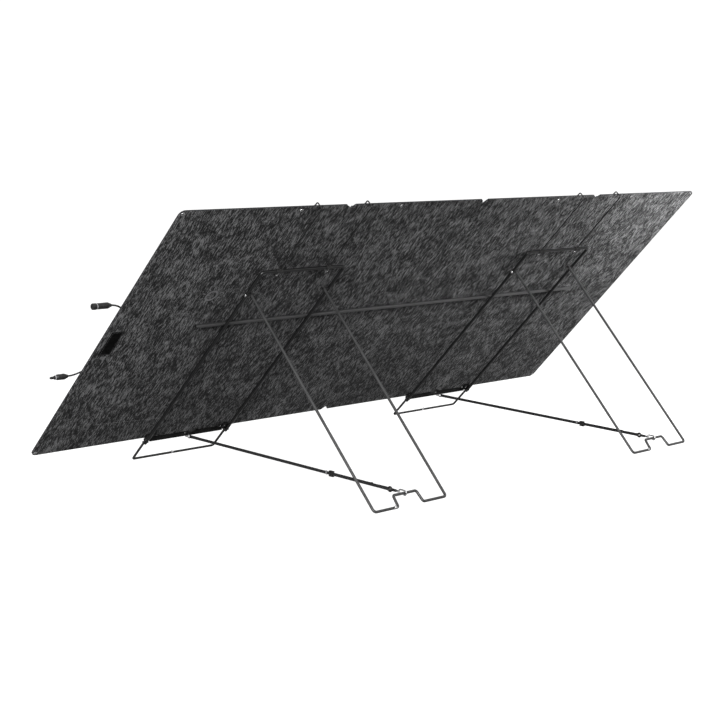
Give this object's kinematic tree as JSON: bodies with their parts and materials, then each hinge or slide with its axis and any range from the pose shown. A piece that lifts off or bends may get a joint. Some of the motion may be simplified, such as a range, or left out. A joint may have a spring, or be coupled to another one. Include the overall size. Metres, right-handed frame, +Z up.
{
  "type": "folding solar panel",
  "caption": "Folding solar panel of felt-backed leaves joined by fabric folds, held at a slope by wire stands with hinged legs, hinged feet, straps and snap hooks, with leads to connectors.",
  "frame": {"origin": "centre of the footprint, on the ground that the stands rest on", "axes": "+X along the panel, away from the edge with the leads; +Z up; the sunny side faces +Y and up"},
  "size_m": [2.4587, 1.0823, 0.8449],
  "materials": {
    "panel_felt": "heathered dark grey felt, matt",
    "cell_laminate": "dark blue cells under a clear, lightly textured film",
    "hook_and_loop": "black looped pile",
    "black_plastic": "moulded, fine grain",
    "lead_jacket": "smooth satin jacket",
    "webbing": "flat woven black webbing",
    "bright_steel": "bright plated steel",
    "black_tube": "satin black powder coat"
  },
  "bodies": {
    "panel": {"cable_patch": "hook_and_loop", "cell_laminate_1": "cell_laminate", "cell_laminate_2": "cell_laminate", "fold_strip_1": "panel_felt", "fold_strip_2": "panel_felt", "leaf_1": "panel_felt", "leaf_2": "panel_felt", "left_foot_pin_left": "bright_steel", "left_foot_pin_right": "bright_steel", "left_frame": "black_tube", "left_hook_sleeve_left": "black_plastic", "left_hook_sleeve_right": "black_plastic", "left_leg_pin_left": "bright_steel", "left_leg_pin_right": "bright_steel", "left_rod_section": "black_tube", "left_slider": "black_plastic", "left_strap": "webbing", "left_top_hook_left": "black_tube", "left_top_hook_right": "black_tube", "left_tray": "black_tube", "left_tray_hook": "bright_steel", "lower_gland": "black_plastic", "lower_lead": "lead_jacket", "plug_connector": "black_plastic", "socket_connector": "black_plastic", "terminal_box": "black_plastic", "terminal_box_lid": "black_plastic", "upper_gland": "black_plastic", "upper_lead": "lead_jacket"},
    "right_half": {"cell_laminate_3": "cell_laminate", "cell_laminate_4": "cell_laminate", "fold_strip_3": "panel_felt", "leaf_3": "panel_felt", "leaf_4": "panel_felt", "right_foot_pin_left": "bright_steel", "right_foot_pin_right": "bright_steel", "right_frame": "black_tube", "right_hook_sleeve_left": "black_plastic", "right_hook_sleeve_right": "black_plastic", "right_leg_pin_left": "bright_steel", "right_leg_pin_right": "bright_steel", "right_rod_section": "black_tube", "right_slider": "black_plastic", "right_strap": "webbing", "right_top_hook_left": "black_tube", "right_top_hook_right": "black_tube", "right_tray": "black_tube", "right_tray_hook": "bright_steel"},
    "left_leg": {"left_jog_hook": "bright_steel", "left_leg": "black_tube", "left_leg_clip": "bright_steel"},
    "right_leg": {"right_jog_hook": "bright_steel", "right_leg": "black_tube", "right_leg_clip": "bright_steel"},
    "left_foot": {"left_foot": "black_tube", "left_foot_clip": "bright_steel"},
    "right_foot": {"right_foot": "black_tube", "right_foot_clip": "bright_steel"},
    "left_gate": {"left_hook_gate": "bright_steel"},
    "right_gate": {"right_hook_gate": "bright_steel"}
  },
  "joints": [
    {"name": "middle_fold", "type": "hinge", "parent": "panel", "child": "right_half", "pos_m": [0.0285, 0.11331, 0.46107], "axis": [0, -0.7011, 0.7131], "range_deg": [0, 174]},
    {"name": "left_leg_fold", "type": "hinge", "parent": "panel", "child": "left_leg", "pos_m": [-0.5935, -0.02636, 0.56917], "axis": [1, 0, 0], "range_deg": [0, 75], "deforming": ["left_strap", "left_slider"]},
    {"name": "left_foot_fold", "type": "hinge", "parent": "panel", "child": "left_foot", "pos_m": [-0.5935, 0.46651, 0.06788], "axis": [-1, 0, 0], "range_deg": [0, 165]},
    {"name": "left_gate_swing", "type": "hinge", "parent": "left_leg", "child": "left_gate", "pos_m": [-0.5935, -0.48936, 0.02814], "axis": [-1, 0, 0], "range_deg": [0, 25], "stiffness_Nm_per_rad": 0.01, "springref_deg": -11.46},
    {"name": "right_leg_fold", "type": "hinge", "parent": "right_half", "child": "right_leg", "pos_m": [0.6115, -0.02636, 0.56917], "axis": [1, 0, 0], "range_deg": [0, 75], "deforming": ["right_strap", "right_slider"]},
    {"name": "right_foot_fold", "type": "hinge", "parent": "right_half", "child": "right_foot", "pos_m": [0.6115, 0.46651, 0.06788], "axis": [-1, 0, 0], "range_deg": [0, 165]},
    {"name": "right_gate_swing", "type": "hinge", "parent": "right_leg", "child": "right_gate", "pos_m": [0.6115, -0.48936, 0.02814], "axis": [-1, 0, 0], "range_deg": [0, 25], "stiffness_Nm_per_rad": 0.01, "springref_deg": -11.46}
  ]
}
